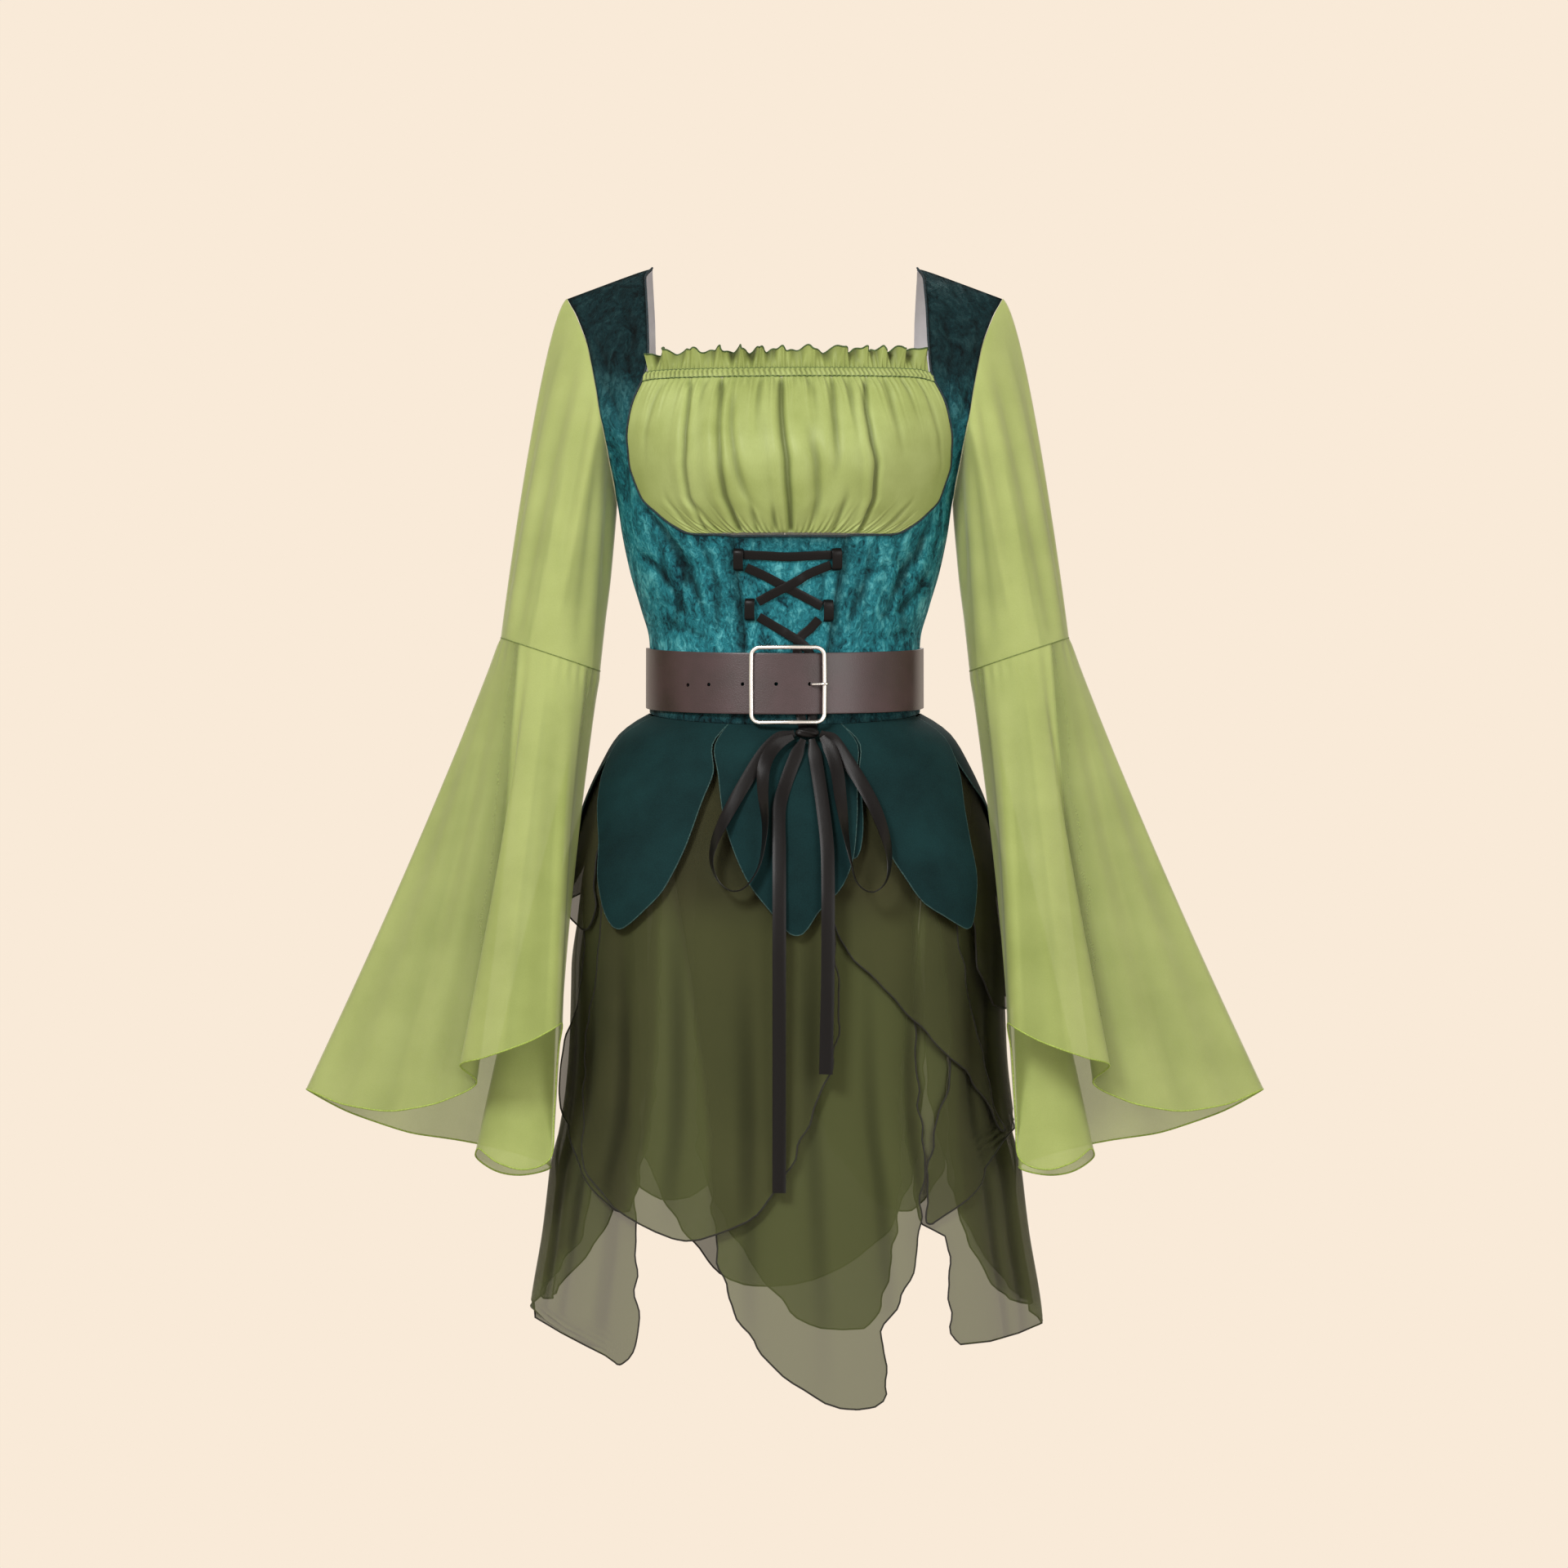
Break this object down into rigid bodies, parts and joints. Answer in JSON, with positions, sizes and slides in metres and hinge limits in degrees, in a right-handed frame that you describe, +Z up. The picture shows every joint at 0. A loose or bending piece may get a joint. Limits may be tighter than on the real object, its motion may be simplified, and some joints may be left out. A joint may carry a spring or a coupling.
{
  "type": "elf costume dress",
  "caption": "Filled-out elf dress: velvet bodice with gathered bust, bell sleeves, laced front with a bow, wide buckled belt, leaf peplum and pointed chiffon petals.",
  "frame": {"origin": "middle of the shoulder line, where the wearer's shoulders carry the dress", "axes": "+Z up, -Y to the front of the wearer, +X to the right as seen from the front"},
  "size_m": [0.868, 0.3866, 1.0236],
  "materials": {
    "crushed_velvet": "crushed velvet, dark teal",
    "bust_satin": "thin satin, leaf green",
    "sleeve_chiffon": "light chiffon, leaf green",
    "belt_leather": "semi-gloss, dark brown",
    "buckle_metal": "polished",
    "ribbon_satin": "satin ribbon, near black",
    "leaf_crepe": "matte crepe, dark green",
    "skirt_chiffon": "sheer chiffon, dark olive"
  },
  "bodies": {
    "root": {"bodice_side_left": "crushed_velvet", "bodice_side_right": "crushed_velvet", "bodice_back_left": "crushed_velvet", "bodice_back_right": "crushed_velvet", "bodice_center_front": "crushed_velvet", "bust_panel": "bust_satin", "neck_casing": "bust_satin", "neck_ruffle": "bust_satin", "sleeve_upper_right": "sleeve_chiffon", "sleeve_upper_left": "sleeve_chiffon", "sleeve_bell_right": "sleeve_chiffon", "sleeve_bell_left": "sleeve_chiffon", "belt_strap": "belt_leather", "belt_buckle": "buckle_metal", "belt_prong": "buckle_metal", "lace_bar": "ribbon_satin", "lace_cross_under": "ribbon_satin", "lace_cross_over": "ribbon_satin", "lace_tie_left": "ribbon_satin", "lace_tie_right": "ribbon_satin", "lace_loop_upper_left": "ribbon_satin", "lace_loop_upper_right": "ribbon_satin", "lace_loop_lower_left": "ribbon_satin", "lace_loop_lower_right": "ribbon_satin", "bow_knot": "ribbon_satin", "bow_loop_left": "ribbon_satin", "bow_loop_right": "ribbon_satin", "bow_tail_left": "ribbon_satin", "bow_tail_right": "ribbon_satin", "leaf_front_left": "leaf_crepe", "leaf_front_center": "leaf_crepe", "leaf_front_right": "leaf_crepe", "leaf_hip_left": "leaf_crepe", "leaf_hip_right": "leaf_crepe", "leaf_front_under": "leaf_crepe", "leaf_back_right": "leaf_crepe", "leaf_back_center": "leaf_crepe", "leaf_back_left": "leaf_crepe", "petal_hip_left": "skirt_chiffon", "petal_front_left": "skirt_chiffon", "petal_hip_right": "skirt_chiffon", "petal_back_right": "skirt_chiffon", "petal_back_left": "skirt_chiffon", "petal_under_left": "skirt_chiffon", "petal_front_right": "skirt_chiffon", "petal_back_center": "skirt_chiffon", "petal_center_long": "skirt_chiffon", "petal_under_right": "skirt_chiffon", "petal_back_long": "skirt_chiffon", "petal_side_left": "skirt_chiffon", "petal_side_right": "skirt_chiffon", "petal_rear_left": "skirt_chiffon", "petal_rear_right": "skirt_chiffon"}
  },
  "joints": []
}
